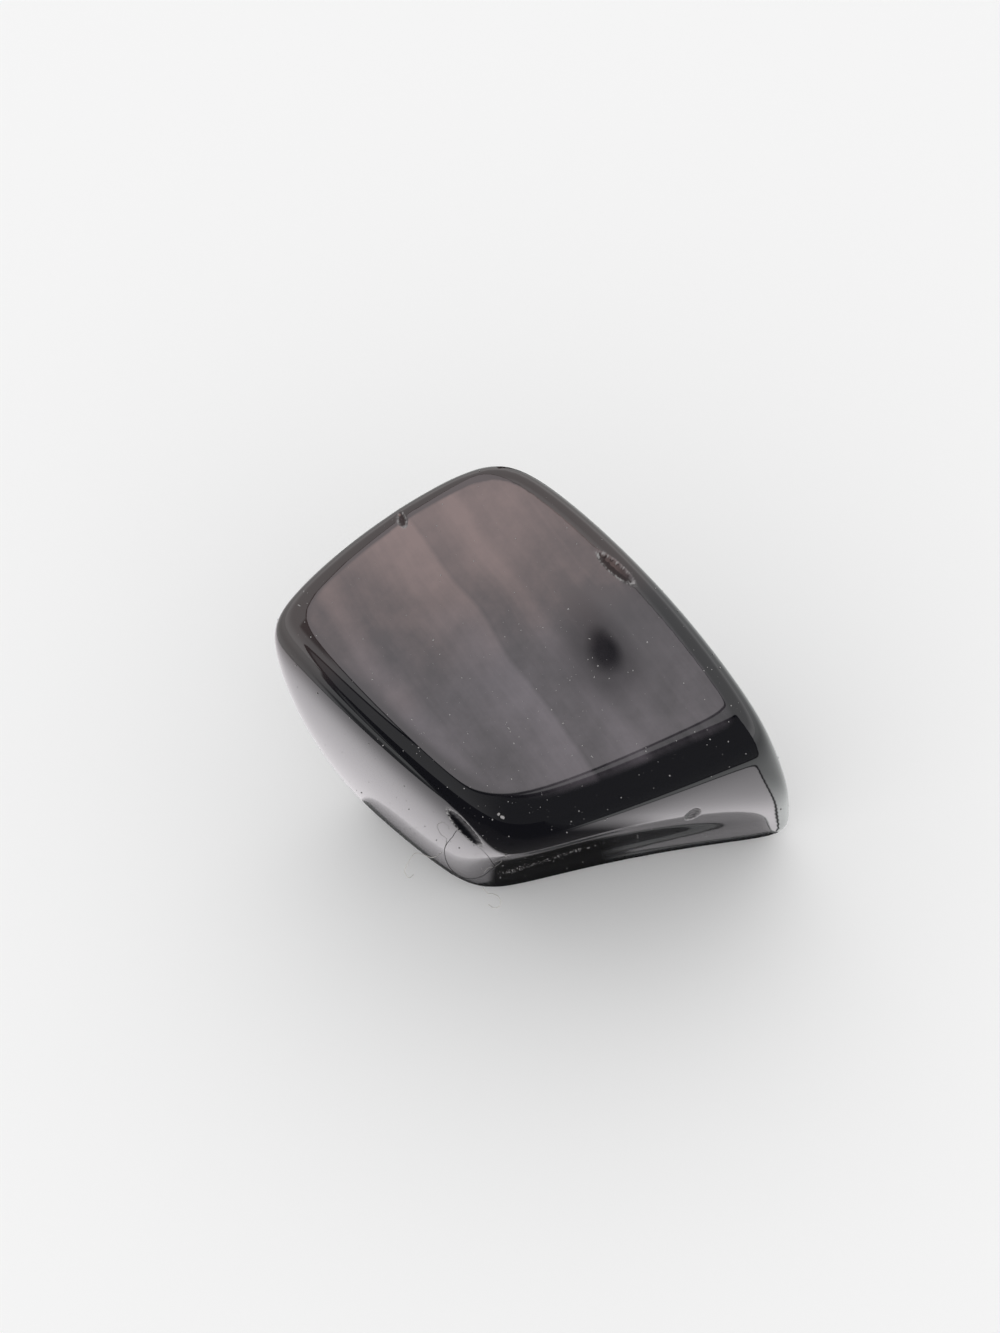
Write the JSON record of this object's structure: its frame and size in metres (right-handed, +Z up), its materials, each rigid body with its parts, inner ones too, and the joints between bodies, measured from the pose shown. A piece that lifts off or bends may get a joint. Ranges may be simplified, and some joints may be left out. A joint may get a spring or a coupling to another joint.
{
  "type": "obsidian tumble stone",
  "caption": "Polished black obsidian stone, a slanted block with rounded edges and a flat base, for display or as a paperweight.",
  "frame": {"origin": "on the ground under the middle of the stone's box, in the plane of its flat base", "axes": "+Z up from the flat base; +X along the stone's longest side, to the right of a viewer who faces its front; +Y towards its back, the shortest side"},
  "size_m": [0.0344, 0.0221, 0.0331],
  "materials": {
    "obsidian": "glassy polish over near-black volcanic glass with a faint grey-brown sheen in flow bands"
  },
  "bodies": {
    "root": {"obsidian_stone": "obsidian"}
  },
  "joints": []
}
